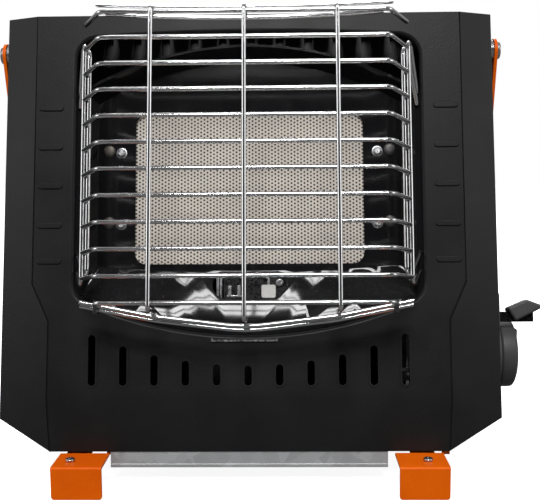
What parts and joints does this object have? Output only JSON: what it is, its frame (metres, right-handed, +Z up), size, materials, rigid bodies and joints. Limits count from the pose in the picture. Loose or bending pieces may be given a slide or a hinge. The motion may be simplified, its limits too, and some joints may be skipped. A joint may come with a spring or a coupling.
{
  "type": "portable propane heater",
  "caption": "Portable gas heater with a leaning front panel, wire guard over an infrared burner plaque, side control knob and lever, rear cartridge bay with lid, and a swing-over carry handle.",
  "frame": {"origin": "on the floor, under the middle of the whole heater's bounding box, 9 mm to the right of the burner's middle plane", "axes": "+X to the viewer's right when facing the burner, where the knob and lever are; +Y to the back, where the cartridge lid is; +Z up"},
  "size_m": [0.2995, 0.1461, 0.2496],
  "materials": {
    "satin_black": "satin powder coat",
    "enamel_black": "gloss enamel",
    "galvanised": "zinc coated, slightly mottled",
    "chrome_wire": "plated, bright",
    "orange_paint": "satin orange powder coat",
    "screw_steel": "plain plated steel",
    "dark_plastic": "fine matt texture",
    "plaque_ceramic": "matt, finely perforated",
    "white_ceramic": "glazed white",
    "gasket_fibre": "woven fibre strip",
    "burner_steel": "aluminised",
    "brass": "turned",
    "pipe_alloy": "drawn",
    "regulator_cast": "die cast",
    "grip_rubber": "soft matt",
    "foot_rubber": "matt",
    "lead_rubber": "insulated wire"
  },
  "bodies": {
    "heater": {"front_panel": "satin_black", "casing": "satin_black", "rear_panel": "satin_black", "regulator_cover": "satin_black", "rear_wall": "satin_black", "heat_shield": "satin_black", "hinge_brackets": "satin_black", "bay_cradle": "satin_black", "reflector": "enamel_black", "base_channel": "galvanised", "bay_stop": "galvanised", "lever_pivot": "galvanised", "jet_bracket": "galvanised", "igniter_bracket": "galvanised", "latch_clip": "galvanised", "slide_guides": "galvanised", "lid_pin": "galvanised", "guard_rows": "chrome_wire", "guard_uprights": "chrome_wire", "guard_side_wires": "chrome_wire", "guard_top_wires": "chrome_wire", "guard_bottom_wires": "chrome_wire", "guard_clips": "chrome_wire", "foot_brackets": "orange_paint", "rear_screws": "screw_steel", "burner_screws": "screw_steel", "foot_screws": "screw_steel", "rear_foot_screws": "screw_steel", "handle_screws": "screw_steel", "igniter_screw": "screw_steel", "opening_lip": "screw_steel", "sensor_tubes": "screw_steel", "electrode_wire": "screw_steel", "knob_bezel": "dark_plastic", "lever_bezel": "dark_plastic", "piezo_unit": "dark_plastic", "ceramic_plaque": "plaque_ceramic", "electrode_insulator": "white_ceramic", "plaque_gasket": "gasket_fibre", "burner_box": "burner_steel", "venturi_tube": "burner_steel", "gas_jet": "brass", "cartridge_seat": "brass", "gas_pipe": "pipe_alloy", "regulator": "regulator_cast", "rear_feet": "foot_rubber", "ignition_lead": "lead_rubber"},
    "handle": {"handle_bail": "orange_paint", "handle_grip": "grip_rubber"},
    "knob_body": {"knob": "dark_plastic", "knob_spindle": "pipe_alloy"},
    "lever": {"lever_arm": "galvanised", "lever_paddle": "dark_plastic"},
    "collar": {"collar_slide": "galvanised"},
    "lid": {"cartridge_lid": "satin_black"},
    "foot_left": {"left_foot": "orange_paint"},
    "foot_right": {"right_foot": "orange_paint"}
  },
  "joints": [
    {"name": "handle_swing", "type": "hinge", "parent": "heater", "child": "handle", "pos_m": [-0.009, 0.0202, 0.22945], "axis": [1, 0, 0], "range_deg": [0, 265]},
    {"name": "knob_turn", "type": "hinge", "parent": "heater", "child": "knob_body", "pos_m": [0.131, 0.00269, 0.06049], "axis": [1, 0, 0], "range_deg": [0, 170]},
    {"name": "lever_throw", "type": "hinge", "parent": "heater", "child": "lever", "pos_m": [0.117, -0.00893, 0.0828], "axis": [0, -0.9781, 0.2079], "range_deg": [0, 26]},
    {"name": "collar_travel", "type": "slide", "parent": "heater", "child": "collar", "axis": [-1, 0, 0], "range_m": [0, 0.00485]},
    {"name": "lid_swing", "type": "hinge", "parent": "heater", "child": "lid", "pos_m": [-0.009, 0.0295, 0.098], "axis": [1, 0, 0], "range_deg": [0, 72]},
    {"name": "left_foot_swing", "type": "hinge", "parent": "heater", "child": "foot_left", "pos_m": [-0.1001, -0.0531, 0.016], "axis": [0, 0, 1], "range_deg": [0, 90]},
    {"name": "right_foot_swing", "type": "hinge", "parent": "heater", "child": "foot_right", "pos_m": [0.083, -0.0531, 0.016], "axis": [0, 0, 1], "range_deg": [-90, 0]}
  ],
  "couplings": [
    {"joint": "lever_throw", "follows": "collar_travel", "rad_per_m": 93.5}
  ]
}
